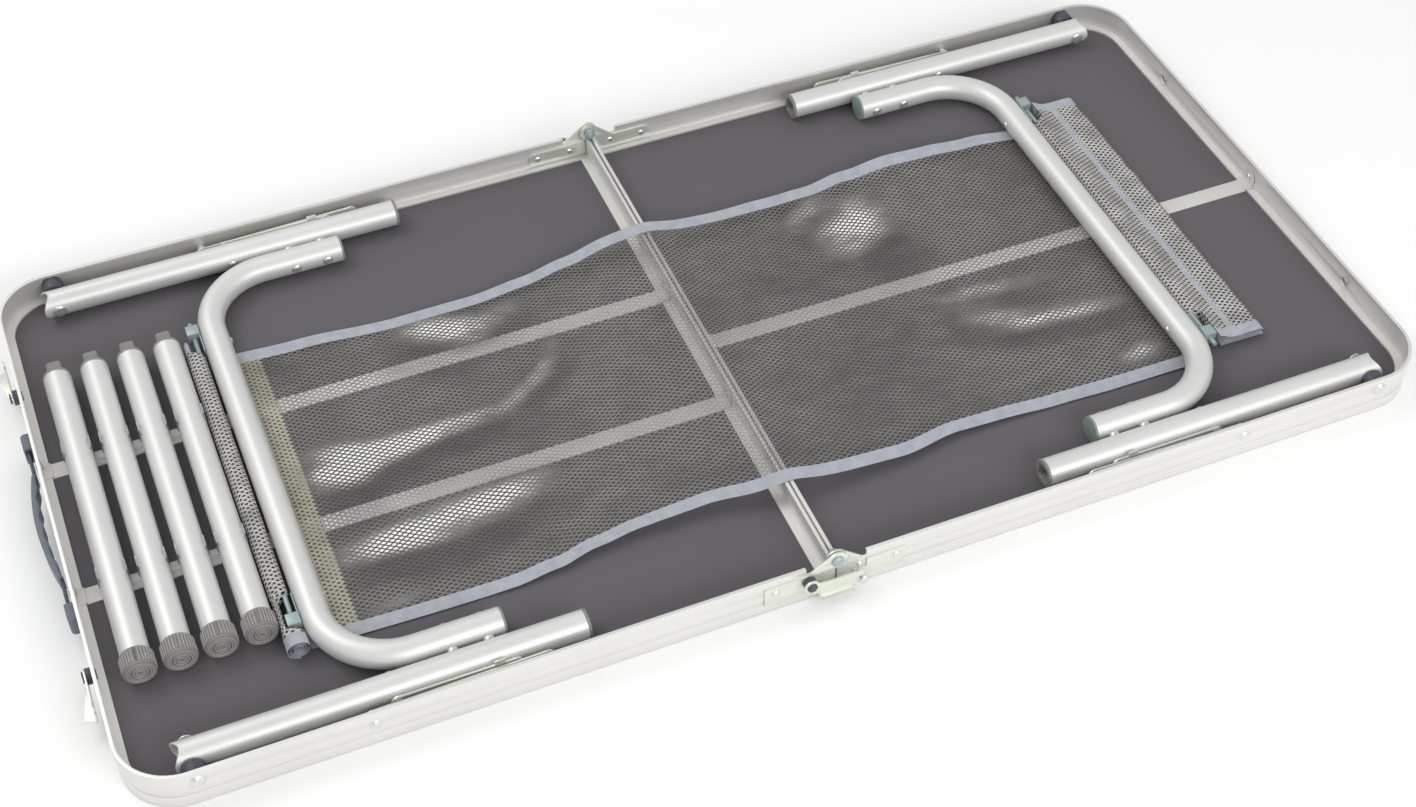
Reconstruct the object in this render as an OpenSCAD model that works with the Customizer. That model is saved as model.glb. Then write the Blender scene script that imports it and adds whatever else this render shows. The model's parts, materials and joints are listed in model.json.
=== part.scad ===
// Folding picnic table, 1200 x 600, lying on its tabletop with the legs folded into the underside.
// Units are millimetres. X runs along the length, Y across it, Z up; z = 0 is the tabletop face on the floor.

/* [Overall] */
// Length over both halves
table_length = 1200; // [900:10:1500]
// Width over the side rails
table_width = 600; // [500:10:800]
// Height of the edge rail, which is the depth of one half of the case
rail_height = 40; // [38:0.5:60]
// Outer radius of the tabletop corners
corner_radius = 50; // [40:1:90]

/* [Edge rail and tabletop] */
// Wall of the rail and of the centre bars
rail_wall = 1.6; // [1.2:0.1:3]
// Width of the inner ledge that holds the board down
ledge_width = 9; // [6:0.5:16]
// Thickness of the tabletop board with its skin and lining
board_thickness = 12; // [8:0.5:16]
// Width of the bead round the rim
bead_width = 3; // [2:0.2:5]

/* [Legs] */
// Diameter of the leg, cross bar and extension tubes
tube_diameter = 25; // [19:0.5:30]
// Wall of those tubes
tube_wall = 1.2; // [0.8:0.1:2]
// Leg length from pivot to mouth
leg_length = 330; // [250:5:420]
// Distance of the leg pivots from the end of the table
pivot_inset = 55; // [40:1:90]
// Bend radius of the cross bars, on the centre line
bar_bend_radius = 65; // [40:1:90]
// Distance of the cross bar from the leg pivot
bar_offset = 127; // [110:1:160]
// Length of the straight arms of the cross bars
arm_length = 75; // [65:1:120]

/* [Leg extensions] */
// Overall length of one extension
extension_length = 369; // [300:1:400]
// Gap between neighbouring stowed extensions
extension_gap = 8.6; // [6:0.2:14]

/* [Stays] */
// Width of the stay links
link_width = 12; // [8:0.5:16]
// Thickness of the stay links
link_thickness = 2; // [1.5:0.1:3]

/* [Hinges and fittings] */
// Thickness of the hinge plates
plate_thickness = 1.6; // [1:0.1:3]
// Diameter of the hinge bolts
bolt_diameter = 6; // [4:0.5:10]
// Width of the flat cross strips
strip_width = 17.5; // [10:0.5:30]
// Distance between the two strips of the left half
strip_spacing = 150; // [100:5:240]
// Distance between the two case catches
catch_spacing = 332; // [260:2:400]

/* [Net] */
// Gap between the near arm of the cross bars and the net
net_near_gap = 29.5; // [5:0.5:60]
// Gap between the far arm of the cross bars and the net
net_far_gap = 74.5; // [5:0.5:120]

/* [View] */
// Sub-part to show, or all

/* [Hidden] */
$fn = 48;
run = 0.05;                                    // radial clearance of a pin in its hole
hl = table_length / 2;
hw = table_width / 2;
end_gap = 1;                                   // from the middle to each half's end face
inner_y = hw - rail_wall;                      // inner face of the side rail
inner_x = hl - rail_wall;                      // inner face of the end rail
lip = 1.2;                                     // flat lip under the edge of the board
lip_width = ledge_width - 1;
ledge_thickness = 2;
ledge_top = board_thickness + ledge_thickness;
strip_thickness = 1.2;
strip_top = board_thickness + strip_thickness;
// hinge
axis_z = rail_height + 1;
ear_r = 9.5;
bolt_r = bolt_diameter / 2;
notch_x = 28;
notch_z = rail_height - 7;
bar_web = 3;
bar_top = rail_height - 4.5;
plate_low = ledge_top + 1.5;
plate_high = axis_z - ear_r - 0.6;
outer_low = plate_low - 5.5;
// legs
tube_r = tube_diameter / 2;
tube_in = tube_r - tube_wall;
leg_z = board_thickness + 2.5 + tube_r;
pivot_x = hl - pivot_inset;
leg_y = inner_y - 13.9 - tube_r;
free_x = pivot_x - leg_length;
pivot_r = 4;
rivet_r = 3;
arm_y = leg_y - tube_diameter - 4;
bar_x = pivot_x - bar_offset;
bend_x = bar_x - bar_bend_radius;
arm_free = bend_x - arm_length;
bend_y = arm_y - bar_bend_radius;
frame_x = [arm_free + 15, arm_free + 46];
// stays: rail pivot, leg pivot and elbow, with the two links in line when the leg stands square
stay_leg = 166;
stay_rail_x = pivot_x - 143;
stay_rail_z = leg_z - 3;
stay_leg_x = pivot_x - stay_leg;
straight = sqrt(143 * 143 + (stay_leg + 3) * (stay_leg + 3));
elbow_gap = 23;                                // difference between the two link lengths
rail_link = (straight + elbow_gap) / 2;
leg_link = (straight - elbow_gap) / 2;
elbow_x = stay_rail_x - rail_link;
elbow_z = leg_z;
leg_link_y = leg_y + tube_r + 1.5;
rail_link_y = leg_link_y + link_thickness + 1;
// extensions
ext_z = leg_z + 1;
ext_first = bar_x + tube_r + 32.5;
ext_pitch = tube_diameter + extension_gap;
ext_far = 187;
foot_length = 18;
ext_near = ext_far - extension_length;
// fittings on the ends
catch_y = catch_spacing / 2;
catch_z = 24;
roll_x = bar_x + tube_r + 9.3;
roll_r = 9;
roll_z = strip_top + roll_r + 0.8;
rod_x = bar_x + 18.5;
rod_z = leg_z + 0.5;
rod_r = 2.2;
net_far = arm_y - tube_r - net_far_gap;
net_near = -(arm_y - tube_r - net_near_gap);

// ---- helpers ----
module pair_y() {
  children();
  mirror([0, 1, 0]) children();
}

// a cylinder along Y from y1 to y2
module rod_y(x, z, r, y1, y2) {
  translate([x, y1, z]) rotate([-90, 0, 0]) cylinder(r = r, h = y2 - y1);
}

// a cylinder along X from x1 to x2
module rod_x_axis(y, z, r, x1, x2) {
  translate([x1, y, z]) rotate([0, 90, 0]) cylinder(r = r, h = x2 - x1);
}

// a low domed rivet head along Y, standing on y and facing up or down it
module head_y(x, z, r, y, h, up) {
  translate([x, y, z]) rotate([up > 0 ? -90 : 90, 0, 0]) cylinder(r1 = r, r2 = r * 0.6, h = h);
}

// plan of the left half, drawn in by d; it runs past the middle by over
module half_plan(d, over) {
  r = corner_radius - d;
  translate([-hl + corner_radius, -hw + d]) square([hl - corner_radius - end_gap + over, table_width - 2 * d]);
  translate([-hl + d, -hw + corner_radius]) square([corner_radius - d + 0.01, table_width - 2 * corner_radius]);
  translate([-hl + corner_radius, -hw + corner_radius]) circle(r = r);
  translate([-hl + corner_radius, hw - corner_radius]) circle(r = r);
}

module rim_band(z, h, w) {
  translate([0, 0, z]) linear_extrude(h) difference() {
    half_plan(0, 0);
    half_plan(w, 5);
  }
}

// ---- edge rail and board ----
module rail_shape() {
  difference() {
    union() {
      rim_band(0, rail_height, rail_wall);
      rim_band(0, lip, lip_width);
      rim_band(board_thickness, ledge_thickness, ledge_width);
      rim_band(rail_height - 3, 3, bead_width);
    }
    // groove round the outside, level with the board
    difference() {
      translate([-hl - 5, -hw - 5, board_thickness + 1]) cube([hl + 10, table_width + 10, 1.2]);
      translate([0, 0, board_thickness]) linear_extrude(4) half_plan(0.5, 20);
    }
    // rim cut away round the hinges
    translate([-notch_x, -hw - 5, notch_z]) cube([notch_x + 5, table_width + 10, rail_height]);
    pair_y() {
      rod_y(-pivot_x, leg_z, pivot_r + run, hw - 10, hw + 5);
      rod_y(-stay_rail_x, stay_rail_z, rivet_r + run, hw - 10, hw + 5);
      rod_y(-56, 23, 2 + run, hw - 10, hw + 5);
    }
  }
}

module rail_left() {
  color("silver") difference() {
    rail_shape();
    pair_y() {
      rod_y(-22, 23, 2 + run, hw - 10, hw + 5);
      rod_y(-26, 26, 2.5 + run, hw - 10, hw + 5);
      rod_x_axis(catch_y, catch_z, 2.5 + run, -hl - 5, -hl + 8);
      rod_x_axis(strip_spacing / 2, 22, 2 + run, -hl - 5, -hl + 8);
    }
  }
}

module rail_right() {
  color("silver") difference() {
    mirror([1, 0, 0]) rail_shape();
    pair_y() {
      rod_y(22, 24.6, 2 + run, hw - 10, hw + 5);
      rod_y(22.5, 15, rivet_r + run, inner_y + 0.1, hw + 5);
      rod_x_axis(catch_y, catch_z, 2.5 + run, hl - 8, hl + 5);
    }
    rod_x_axis(0, 22, 2 + run, hl - 8, hl + 5);
  }
}

module centre_bar_shape() {
  y1 = inner_y - 2;
  y2 = hw - ledge_width - 0.1;
  difference() {
    union() {
      translate([-end_gap - lip_width, -y2, 0]) cube([lip_width, 2 * y2, lip]);
      translate([-end_gap - ledge_width - 2, -y2, board_thickness]) cube([ledge_width + 2, 2 * y2, ledge_thickness]);
      translate([-end_gap - bar_web, -y2, 0]) cube([bar_web, 2 * y2, bar_top]);
      translate([-end_gap - bar_web, -y1, ledge_top]) cube([bar_web, 2 * y1, bar_top - ledge_top]);
    }
    children();
  }
}

module centre_bar_left() {
  color("silver") centre_bar_shape()
    pair_y() rod_x_axis(strip_spacing / 2, 22, 2 + run, -10, 2);
}

module centre_bar_right() {
  color("silver") mirror([1, 0, 0]) centre_bar_shape()
    rod_x_axis(0, 22, 2 + run, -10, 2);
}

module board_layer(z, h, d, back) {
  translate([0, 0, z]) linear_extrude(h) intersection() {
    half_plan(d, 0);
    translate([-hl, -hw]) square([hl - back, table_width]);
  }
}

module skin_shape() { board_layer(0, lip, lip_width + 0.2, end_gap + lip_width + 0.2); }
module core_shape() { board_layer(lip, board_thickness - lip - 1.5, rail_wall + 0.3, end_gap + bar_web + 0.3); }
module lining_shape() { board_layer(board_thickness - 1.5, 1.5, rail_wall + 0.3, end_gap + bar_web + 0.3); }
module tabletop_skin_left() { color("gainsboro") skin_shape(); }
module tabletop_core_left() { color("tan") core_shape(); }
module lining_left() { color("dimgray") lining_shape(); }
module tabletop_skin_right() { color("gainsboro") mirror([1, 0, 0]) skin_shape(); }
module tabletop_core_right() { color("tan") mirror([1, 0, 0]) core_shape(); }
module lining_right() { color("dimgray") mirror([1, 0, 0]) lining_shape(); }

// ---- cross strips, clips and rivets ----
// flat strip from the end rail to the centre bar, with both ends stepped over the ledges and turned up
module strip_shape() {
  x1 = -inner_x + 0.1;
  x2 = -end_gap - bar_web - 0.1;
  ledge_x1 = -hl + ledge_width;
  ledge_x2 = -end_gap - ledge_width - 2;
  over = ledge_top + 0.1;
  t = strip_thickness;
  w = strip_width;
  tab = 22 - over;
  translate([ledge_x1 + 0.2, -w / 2, board_thickness]) cube([ledge_x2 - ledge_x1 - 0.4, w, t]);
  translate([ledge_x1 + 0.2, -w / 2, board_thickness]) cube([t, w, over + t - board_thickness]);
  translate([ledge_x2 - 0.2 - t, -w / 2, board_thickness]) cube([t, w, over + t - board_thickness]);
  translate([x1, -w / 2, over]) cube([ledge_x1 + 0.2 + t - x1, w, t]);
  translate([ledge_x2 - 0.2 - t, -w / 2, over]) cube([x2 - ledge_x2 + 0.2 + t, w, t]);
  for (x = [x1, x2 - t]) {
    translate([x, -w / 2, over]) cube([t, w, tab]);
    intersection() {
      rod_x_axis(0, 22, w / 2, x, x + t);
      translate([x - 1, -w, over + 1]) cube([t + 2, 2 * w, w + tab]);
    }
  }
}

module strip_with_holes(xs) {
  difference() {
    strip_shape();
    rod_x_axis(0, 22, 2 + run, -hl - 5, 0);
    for (x = xs) translate([x, 0, 0]) cylinder(r = 1.5 + run, h = 20);
  }
}

function ext_x(i) = -(ext_first + (i - 1) * ext_pitch);
ext_xs = [ext_x(1), ext_x(2), ext_x(3), ext_x(4)];

module cross_strips() {
  color("lightgray") for (y = [-strip_spacing / 2, strip_spacing / 2])
    translate([0, y, 0]) strip_with_holes(ext_xs);
}

module long_strip() {
  color("lightgray") mirror([1, 0, 0]) strip_with_holes([]);
}

// spring clip round a stowed extension: a hoop open at the top with flared tips
module clip_shape() {
  r = tube_r + 0.1;
  t = 0.8;
  a = 35;
  translate([0, 6, 0]) rotate([90, 0, 0]) difference() {
    linear_extrude(12) union() {
      difference() {
        circle(r = r + t);
        circle(r = r);
        polygon([[0, 0], [60 * cos(a), 60 * sin(a)], [0, 90], [-60 * cos(a), 60 * sin(a)]]);
      }
      for (s = [-1, 1]) polygon([
        [s * r * cos(a - 2), r * sin(a - 2)],
        [s * (r + t) * cos(a - 2), (r + t) * sin(a - 2)],
        [s * (r * cos(a) + 2.4), r * sin(a) + 3.2],
        [s * (r * cos(a) + 1.8), r * sin(a) + 3.8]]);
      difference() {
        translate([-5, strip_top + 0.05 - ext_z]) square([10, 2]);
        circle(r = r + 0.05);
      }
    }
    translate([0, -tube_r, 6]) rotate([90, 0, 0]) cylinder(r = 1.5 + run, h = 10, center = true);
  }
}

module tube_clips() {
  color("lightsteelblue") for (i = [1:4]) for (y = [-strip_spacing / 2, strip_spacing / 2])
    translate([ext_x(i), y, ext_z]) clip_shape();
}

module rivet_x(y, z, x1, x2) {
  rod_x_axis(y, z, 2, x1, x2);
  translate([x1, y, z]) rotate([0, -90, 0]) cylinder(r1 = 4, r2 = 2.6, h = 1.4);
  translate([x2, y, z]) rotate([0, 90, 0]) cylinder(r1 = 4, r2 = 2.6, h = 1.4);
}

module rivet_y(x, z, y1, y2) {
  rod_y(x, z, 2, y1, y2);
  head_y(x, z, 4, y1, 1.3, -1);
  head_y(x, z, 4, y2, 1.3, 1);
}

// rivets of one half, given where the strips end
module half_rivets(strip_ys) {
  pair_y() rivet_y(-56, 23, inner_y - plate_thickness, hw + plate_thickness);
  for (y = strip_ys) {
    rivet_x(y, 22, -hl, -inner_x + 0.1 + strip_thickness);
    rivet_x(y, 22, -end_gap - bar_web - 0.1 - strip_thickness, -end_gap - 1.5);
  }
}

module rivets_left() {
  color("gainsboro") {
    difference() {
      half_rivets([-strip_spacing / 2, strip_spacing / 2]);
      translate([-end_gap - 1.6, -hw, 0]) cube([20, table_width, 60]);
    }
    // flush outside, under the bush of the lock lever
    pair_y() {
      rod_y(-22, 23, 2, inner_y - plate_thickness, hw + plate_thickness - 0.05);
      head_y(-22, 23, 4, inner_y - plate_thickness, 1.3, -1);
    }
    for (x = ext_xs) for (y = [-strip_spacing / 2, strip_spacing / 2])
      translate([x, y, board_thickness + 0.1]) cylinder(r = 1.5, h = ext_z - tube_r - 0.1 - board_thickness - 0.1);
  }
}

module rivets_right() {
  color("gainsboro") {
    mirror([1, 0, 0]) difference() {
      half_rivets([0]);
      translate([-end_gap - 1.6, -hw, 0]) cube([20, table_width, 60]);
    }
    pair_y() {
      rod_y(22, 24.6, 2, inner_y - plate_thickness, hw);
      head_y(22, 24.6, 4, inner_y - plate_thickness, 1.3, -1);
      head_y(22, 24.6, 3.4, hw, 1.3, 1);
    }
  }
}

// ---- hinges ----
module slot_bar(x1, x2, z1, z2, y, t) {
  r = (z2 - z1) / 2;
  translate([x1 + r, y, z1]) cube([x2 - x1 - r, t, z2 - z1]);
  rod_y(x1 + r, (z1 + z2) / 2, r, y, y + t);
}

// where a line from p, given from the hinge axis, runs into the round of the ear on side s
function touch(p, s) = let(d = norm(p), r = ear_r - 0.15, a = s * acos(r / d))
  [(p[0] * cos(a) - p[1] * sin(a)) * r / d, (p[0] * sin(a) + p[1] * cos(a)) * r / d];

// ear that reaches the hinge axis, on the left, standing on a plate whose top is at z
module ear(x1, x2, z, y, t) {
  a = [x1, z - axis_z];
  b = [x2, z - axis_z];
  rod_y(0, axis_z, ear_r, y, y + t);
  translate([0, y + t, axis_z]) rotate([90, 0, 0]) linear_extrude(t)
    polygon([a, b, touch(b, 1), [0, 0], touch(a, -1)]);
}

module hinge_plates_left() {
  t = plate_thickness;
  color("lightyellow") pair_y() {
    // outside, with the ear
    difference() {
      union() {
        translate([-66, hw, outer_low]) cube([58, t, plate_high + 1 - outer_low]);
        ear(-30, -8, plate_high, hw, t);
      }
      rod_y(0, axis_z, bolt_r + run, hw - 1, hw + t + 1);
      rod_y(-22, 23, 2 + run, hw - 1, hw + t + 1);
      rod_y(-56, 23, 2 + run, hw - 1, hw + t + 1);
      rod_y(-26, 26, 2.5 + run, hw - 1, hw + t + 1);
    }
    // inside
    difference() {
      slot_bar(-66, -5, plate_low, plate_high, inner_y - t, t);
      rod_y(-22, 23, 2 + run, inner_y - t - 1, hw);
      rod_y(-56, 23, 2 + run, inner_y - t - 1, hw);
    }
  }
}

module hinge_plates_right() {
  t = plate_thickness;
  color("lightyellow") pair_y() {
    // outside
    difference() {
      union() {
        translate([28, hw, outer_low]) cube([36, t, plate_high - outer_low]);
        translate([16, hw, outer_low]) cube([13, t, 11]);
      }
      rod_y(56, 23, 2 + run, hw - 1, hw + t + 1);
      rod_y(22.5, 15, rivet_r + run, hw - 1, hw + t + 1);
    }
    // inside, with the ear
    difference() {
      union() {
        mirror([1, 0, 0]) slot_bar(-66, -5, plate_low, plate_high + 0.01, inner_y - t, t);
        mirror([1, 0, 0]) ear(-27, -5, plate_high - 1, inner_y - t, t);
      }
      rod_y(0, axis_z, bolt_r + run, inner_y - t - 1, hw);
      rod_y(22, 24.6, 2 + run, inner_y - t - 1, hw);
      rod_y(56, 23, 2 + run, inner_y - t - 1, hw);
    }
  }
}

module hinge_bolts() {
  t = plate_thickness;
  color("lightblue") pair_y() {
    rod_y(0, axis_z, bolt_r, inner_y - t - 7, hw + t + 0.1);
    rod_y(0, axis_z, 5.5, hw + t + 0.05, hw + t + 1.2);
    head_y(0, axis_z, 5.5, hw + t + 1.2, 1.6, 1);
    translate([0, inner_y - t - 0.1, axis_z]) rotate([90, 0, 0]) cylinder(r = 5.3, h = 4.6, $fn = 6);
    rod_y(0, axis_z, 5.3, inner_y - t - 1.1, inner_y - t - 0.1);
    rod_y(0, axis_z, 5.2, inner_y + 0.05, hw - 0.05);
  }
}

// dark bushes: the lock lever pivots on the sides and the catch pivots on the end
lock_y = hw + plate_thickness + 6;
lock_t = 1.6;
module pivot_bushes() {
  color("dimgray") pair_y() {
    rod_y(-26, 26, 2.5, inner_y, lock_y + lock_t + 0.2);
    rod_y(-26, 26, 6, hw + plate_thickness, lock_y - 0.1);
    rod_y(-26, 26, 4.6, lock_y + lock_t + 0.1, lock_y + lock_t + 1.2);
    head_y(-26, 26, 4.6, lock_y + lock_t + 1.2, 1.6, 1);
    rod_x_axis(catch_y, catch_z, 2.5, -hl - 7, -inner_x + 1.6);
    rod_x_axis(catch_y, catch_z, 7, -hl - 5, -hl);
    rod_x_axis(catch_y, catch_z, 5, -hl - 8.4, -hl - 6.9);
    rod_x_axis(catch_y, catch_z, 4.4, -inner_x, -inner_x + 1.6);
  }
}

// pins of the right half: lock pins on the sides and strike pins on the end
module catch_pins() {
  color("gainsboro") pair_y() {
    rod_y(22.5, 15, rivet_r, inner_y + 0.1, lock_y + lock_t + 0.2);
    rod_y(22.5, 15, 4, hw + plate_thickness, hw + plate_thickness + 1.5);
    rod_y(22.5, 15, 4.5, lock_y + lock_t + 0.2, lock_y + lock_t + 1.6);
    head_y(22.5, 15, 4.5, lock_y + lock_t + 1.6, 1.2, 1);
    rod_x_axis(catch_y, catch_z, 2.5, inner_x - 1.6, hl + 7.4);
    rod_x_axis(catch_y, catch_z, 4.4, inner_x - 1.6, inner_x);
    rod_x_axis(catch_y, catch_z, 4, hl, hl + 4.6);
    rod_x_axis(catch_y, catch_z, 4.6, hl + 7.2, hl + 9);
  }
}

// lever that hooks over the lock pin; it lifts to let the halves fold
module lock_lever() {
  difference() {
    union() {
      rod_y(-26, 26, 7, lock_y, lock_y + lock_t);
      translate([-26, lock_y, 16]) cube([10, lock_t, 11]);
      translate([-19, lock_y, 9]) cube([32, lock_t, 18]);
      rod_y(13, 10, 3, lock_y, lock_y + lock_t);
      rod_y(-16, 10, 3, lock_y, lock_y + lock_t);
      translate([-16, lock_y, 7]) cube([29, lock_t, 3]);
      translate([12, lock_y, 10]) cube([4, lock_t, 17]);
      translate([15, lock_y, 19.6]) cube([6.5, lock_t, 7.4]);
      // stiffening lip along the bottom edge
      translate([-16, lock_y, 7]) cube([29, 5, 1.4]);
    }
    rod_y(-26, 26, 2.5 + run, lock_y - 1, lock_y + lock_t + 1);
  }
}
module lock_lever_far() { color("honeydew") lock_lever(); }
module lock_lever_near() { color("honeydew") mirror([0, 1, 0]) lock_lever(); }

// swing hook of a case catch, lying along the end rail, with its finger tab turned out
catch_reach = 2 * axis_z - 2 * catch_z;
module latch_hook() {
  x = -hl - 6.7;
  t = 1.5;
  difference() {
    union() {
      rod_x_axis(catch_y, catch_z, 7, x, x + t);
      translate([x, catch_y, catch_z - 7]) cube([t, catch_reach + 6, 14]);
      rod_x_axis(catch_y + catch_reach + 6, catch_z, 7, x, x + t);
      // finger tab
      translate([0, 0, catch_z - 7]) linear_extrude(1.3) polygon([
        [x + 0.5, catch_y + 6], [x - 2, catch_y + 6], [x - 8.4, catch_y + catch_reach + 4],
        [x + 0.5, catch_y + catch_reach + 8]]);
    }
    rod_x_axis(catch_y, catch_z, 2.5 + run, x - 1, x + t + 1);
    // mouth for the strike pin
    rod_x_axis(catch_y + catch_reach, catch_z, 3.1, x - 1, x + t + 1);
    translate([x - 1, catch_y + catch_reach - 3.1, catch_z]) cube([t + 2, 6.2, 10]);
  }
}
module latch_hook_far() { color("whitesmoke") latch_hook(); }
module latch_hook_near() { color("whitesmoke") mirror([0, 1, 0]) latch_hook(); }

// ---- carrying handle ----
handle_z = 22;
module handle_caps() {
  color("slategray") pair_y() difference() {
    translate([0, 0, handle_z - 10]) linear_extrude(20) union() {
      translate([-hl - 8, 92]) square([8, 15]);
      translate([-hl - 4, 107]) circle(r = 4);
      translate([-hl - 4, 107]) square([4, 4]);
    }
    translate([-hl - 6.2, 91, handle_z - 6.3]) cube([3.2, 15.5, 12.6]);
  }
}

module handle_straps() {
  color("darkslategray") pair_y()
    translate([-hl - 6, 62, handle_z - 6]) cube([2.8, 43, 12]);
}

function bow(y) = 6.6 + 7.4 * (1 - (y / 62) * (y / 62));
function grip(y) = 4.4 + 1.6 * (1 - (y / 62) * (y / 62)) + 0.8 * cos(y * 16);
grip_ys = [for (i = [-31:31]) 2 * i];
module handle_grip() {
  color("slategray") translate([0, 0, handle_z - 9]) linear_extrude(18) polygon(concat(
    [for (y = grip_ys) [-hl - bow(y), y]],
    [for (i = [31:-1:-31]) [-hl - bow(2 * i) + grip(2 * i), 2 * i]]));
}

// ---- legs ----
module tube_x(x1, x2, y, z) {
  difference() {
    rod_x_axis(y, z, tube_r, x1, x2);
    rod_x_axis(y, z, tube_in, x1 - 1, x2 + 1);
  }
}

// left leg tube on the far side
module leg_tube() {
  difference() {
    intersection() {
      tube_x(-pivot_x - 14, -free_x, leg_y, leg_z);
      union() {
        rod_y(-pivot_x, leg_z, 13.2, leg_y - 20, leg_y + 20);
        translate([-pivot_x, leg_y - 20, leg_z - 20]) cube([leg_length + 5, 40, 40]);
      }
    }
    rod_y(-pivot_x, leg_z, pivot_r + run, leg_y - 20, leg_y + 20);
    rod_y(-stay_leg_x, leg_z, rivet_r + run, leg_y - 20, leg_y + 20);
    for (x = frame_x) rod_y(-x, leg_z, rivet_r + run, leg_y - 20, leg_y + 20);
  }
}

module leg_pair() { pair_y() leg_tube(); }
module leg_tubes_left() { color("silver") leg_pair(); }
module leg_tubes_right() { color("silver") mirror([1, 0, 0]) leg_pair(); }

module bar_solid(r, d) {
  for (s = [-1, 1]) {
    rod_x_axis(s * arm_y, leg_z, r, -bend_x, -arm_free + d);
    translate([-bend_x, s * bend_y, leg_z]) rotate([0, 0, s > 0 ? 90 : 180])
      rotate_extrude(angle = 90) translate([bar_bend_radius, 0]) circle(r = r);
  }
  rod_y(-bar_x, leg_z, r, -bend_y, bend_y);
}

module bar_shape() {
  difference() {
    bar_solid(tube_r, 0);
    bar_solid(tube_in, 1);
    for (x = frame_x) pair_y() rod_y(-x, leg_z, rivet_r + run, arm_y - 20, arm_y + 20);
    pair_y() rod_x_axis(bend_y - 18, leg_z, 2 + run, -bar_x - 20, -bar_x + 20);
  }
}
module cross_bar_left() { color("silver") bar_shape(); }
module cross_bar_right() { color("silver") mirror([1, 0, 0]) bar_shape(); }

module plug_shape() {
  pair_y() {
    rod_x_axis(arm_y, leg_z, tube_in - 0.05, -arm_free - 9, -arm_free);
    rod_x_axis(arm_y, leg_z, tube_r, -arm_free + 0.05, -arm_free + 2);
    rod_x_axis(arm_y, leg_z, tube_in - 0.05, -arm_free - 0.1, -arm_free + 0.1);
  }
}
module bar_plugs_left() { color("cadetblue") plug_shape(); }
module bar_plugs_right() { color("cadetblue") mirror([1, 0, 0]) plug_shape(); }

// rounded square for the socket mouth and the stub that fits it
module keyed(side, r) {
  square([side, side - 2 * r], center = true);
  square([side - 2 * r, side], center = true);
  for (a = [-1, 1]) for (b = [-1, 1]) translate([a * (side / 2 - r), b * (side / 2 - r)]) circle(r = r);
}

module socket_shape() {
  pair_y() difference() {
    union() {
      rod_x_axis(leg_y, leg_z, tube_in - 0.05, -free_x - 24, -free_x + 0.1);
      rod_x_axis(leg_y, leg_z, tube_r + 0.5, -free_x + 0.05, -free_x + 2.6);
    }
    translate([-free_x - 18, leg_y, leg_z]) rotate([0, 90, 0]) linear_extrude(30) keyed(14.8, 3.5);
  }
}
module socket_inserts_left() { color("gray") socket_shape(); }
module socket_inserts_right() { color("gray") mirror([1, 0, 0]) socket_shape(); }

module frame_rivet_shape() {
  pair_y() {
    for (x = frame_x) {
      rod_y(-x, leg_z, rivet_r, arm_y - tube_r - 0.2, leg_y + tube_r + 0.2);
      rod_y(-x, leg_z, 5, arm_y + tube_r + 0.05, leg_y - tube_r - 0.05);
      head_y(-x, leg_z, 5, arm_y - tube_r - 0.03, 1.8, -1);
      head_y(-x, leg_z, 5, leg_y + tube_r + 0.03, 1.0, 1);
    }
    // pivot of the lower stay link
    rod_y(-stay_leg_x, leg_z, rivet_r, leg_y - tube_r - 0.2, leg_link_y + link_thickness);
    head_y(-stay_leg_x, leg_z, 5, leg_y - tube_r - 0.03, 1.8, -1);
    rod_y(-stay_leg_x, leg_z, 4.6, leg_y + tube_r + 0.05, leg_link_y - 0.1);
    rod_y(-stay_leg_x, leg_z, 4.6, leg_link_y + link_thickness + 0.1, leg_link_y + link_thickness + 0.8);
    rod_y(-stay_leg_x, leg_z, rivet_r, leg_link_y + link_thickness - 0.1, leg_link_y + link_thickness + 0.2);
    // rivets of the rod brackets
    rod_x_axis(bend_y - 18, leg_z, 2, -bar_x - tube_r - 1.2, -bar_x + tube_r + 0.2);
    translate([-bar_x + tube_r + 0.03, bend_y - 18, leg_z]) rotate([0, 90, 0]) cylinder(r1 = 3.6, r2 = 2.2, h = 1.5);
  }
}
module frame_rivets_left() { color("gainsboro") frame_rivet_shape(); }
module frame_rivets_right() { color("gainsboro") mirror([1, 0, 0]) frame_rivet_shape(); }

module leg_pivot_shape() {
  pair_y() {
    rod_y(-pivot_x, leg_z, pivot_r, leg_y - tube_r - 0.1, hw + 0.1);
    head_y(-pivot_x, leg_z, 7, hw, 2, 1);
    rod_y(-pivot_x, leg_z, 6.5, leg_y - tube_r - 1.1, leg_y - tube_r - 0.1);
    head_y(-pivot_x, leg_z, 6.5, leg_y - tube_r - 1.1, 1.4, -1);
    // pivot of the upper stay link
    rod_y(-stay_rail_x, stay_rail_z, rivet_r, rail_link_y - 0.2, hw + 0.1);
    head_y(-stay_rail_x, stay_rail_z, 5.5, hw, 1.6, 1);
    rod_y(-stay_rail_x, stay_rail_z, 4.6, rail_link_y + link_thickness + 0.1, inner_y);
    rod_y(-stay_rail_x, stay_rail_z, 4.6, rail_link_y - 0.8, rail_link_y - 0.1);
  }
}
module leg_pivots_left() { color("gainsboro") leg_pivot_shape(); }
module leg_pivots_right() { color("gainsboro") mirror([1, 0, 0]) leg_pivot_shape(); }

module spacer_shape() {
  pair_y() difference() {
    rod_y(-pivot_x, leg_z, 10, leg_y + tube_r + 0.1, inner_y - 0.1);
    rod_y(-pivot_x, leg_z, pivot_r + run, leg_y, hw);
  }
}
module leg_spacers_left() { color("dimgray") spacer_shape(); }
module leg_spacers_right() { color("dimgray") mirror([1, 0, 0]) spacer_shape(); }

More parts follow.
